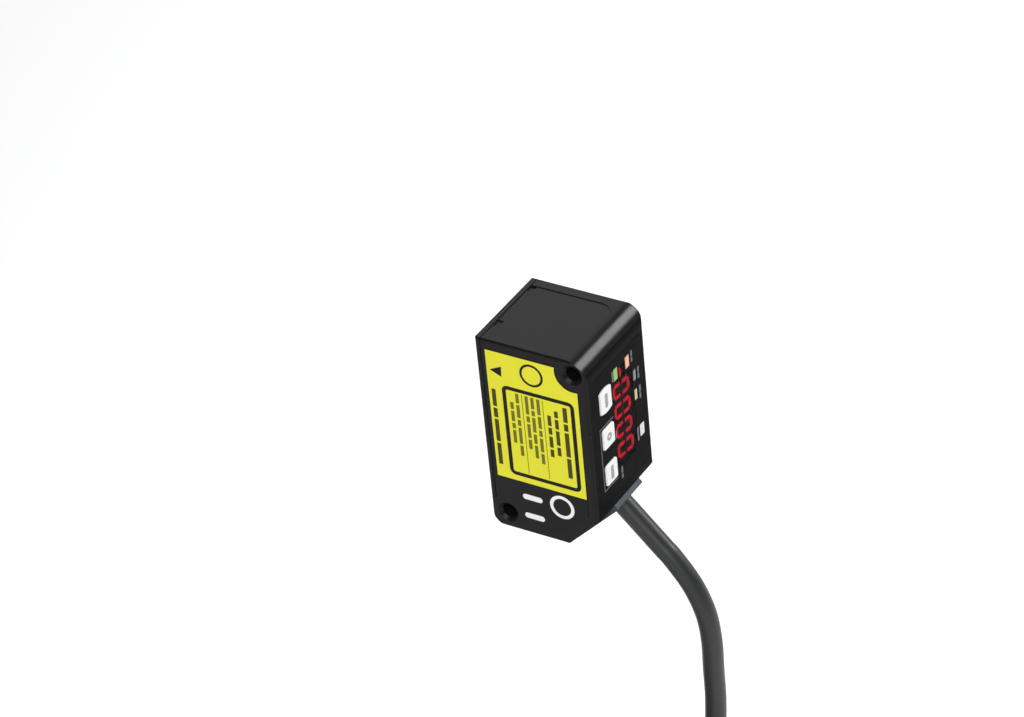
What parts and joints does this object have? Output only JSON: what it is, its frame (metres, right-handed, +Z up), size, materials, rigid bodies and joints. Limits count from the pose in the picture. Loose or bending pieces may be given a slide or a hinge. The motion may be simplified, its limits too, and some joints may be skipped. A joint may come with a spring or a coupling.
{
  "type": "laser displacement sensor",
  "caption": "Compact block-shaped laser distance sensor with a dark front window, a lit digit display and push keys behind, corner mounting holes and a coiled cable.",
  "frame": {"origin": "on the mounting side, midway between the two mounting holes", "axes": "+X from the front window to the rear display, +Y out of the mounting side, +Z up; the laser leaves along -X"},
  "size_m": [0.0636, 0.088, 0.1233],
  "materials": {
    "cast_body": "matt black paint on die-cast aluminium",
    "front_acrylic": "polished dark red acrylic",
    "window_acrylic": "polished smoked red acrylic",
    "seal_rubber": "matt",
    "black_sheet": "matt black",
    "panel_plastic": "satin black polycarbonate",
    "key_plastic": "satin white",
    "switch_plastic": "matt dark grey",
    "display_plastic": "matt black",
    "segment_red": "lit red light bars",
    "lamp_green": "lit green light guide",
    "lamp_orange": "lit orange light guide",
    "lamp_grey": "unlit light guide",
    "lamp_yellow": "pale yellow light guide",
    "led_resin": "clear resin",
    "board_laminate": "green solder mask",
    "chip_resin": "matt black moulding",
    "connector_plastic": "natural ivory",
    "flex_film": "amber polyimide",
    "optics_cast": "black anodised",
    "screw_steel": "zinc plated",
    "barrel_brass": "turned",
    "diode_metal": "gold-plated can",
    "lens_glass": "polished",
    "label_film": "printed yellow and black film",
    "boot_rubber": "satin",
    "lead_insulation": "coloured insulation",
    "cable_sheath": "satin dark grey",
    "tie_plastic": "black nylon"
  },
  "bodies": {
    "sensor": {"housing": "cast_body", "front_cover": "front_acrylic", "front_seal": "seal_rubber", "aperture_plate": "black_sheet", "rear_panel": "panel_plastic", "panel_seal": "seal_rubber", "display_window": "window_acrylic", "key_switches": "switch_plastic", "digit_display": "display_plastic", "digit_segments": "segment_red", "laser_lamp": "lamp_green", "output_lamp": "lamp_orange", "mode_lamp": "lamp_grey", "zero_lamp": "lamp_yellow", "lamp_leds": "led_resin", "display_board": "board_laminate", "main_board": "board_laminate", "board_chips": "chip_resin", "board_connectors": "connector_plastic", "board_flex": "flex_film", "optics_base": "optics_cast", "base_screws": "screw_steel", "laser_barrel": "barrel_brass", "laser_diode": "diode_metal", "beam_lens": "lens_glass", "receiving_lens": "lens_glass", "image_chip": "chip_resin", "image_board": "board_laminate", "label": "label_film", "cable_boot": "boot_rubber", "lead_wires": "lead_insulation", "cable": "cable_sheath", "cable_coil": "cable_sheath", "coil_tie": "tie_plastic", "cable_tail": "cable_sheath", "core_ends": "lead_insulation"},
    "teach_key": {"teach_key": "key_plastic"},
    "up_key": {"up_key": "key_plastic"},
    "down_key": {"down_key": "key_plastic"}
  },
  "joints": [
    {"name": "teach_key_press", "type": "slide", "parent": "sensor", "child": "teach_key", "axis": [1, 0, 0], "range_m": [-0.00025, 0], "stiffness_N_per_m": 2000},
    {"name": "up_key_press", "type": "slide", "parent": "sensor", "child": "up_key", "axis": [1, 0, 0], "range_m": [-0.00025, 0], "stiffness_N_per_m": 2000},
    {"name": "down_key_press", "type": "slide", "parent": "sensor", "child": "down_key", "axis": [1, 0, 0], "range_m": [-0.00025, 0], "stiffness_N_per_m": 2000}
  ]
}
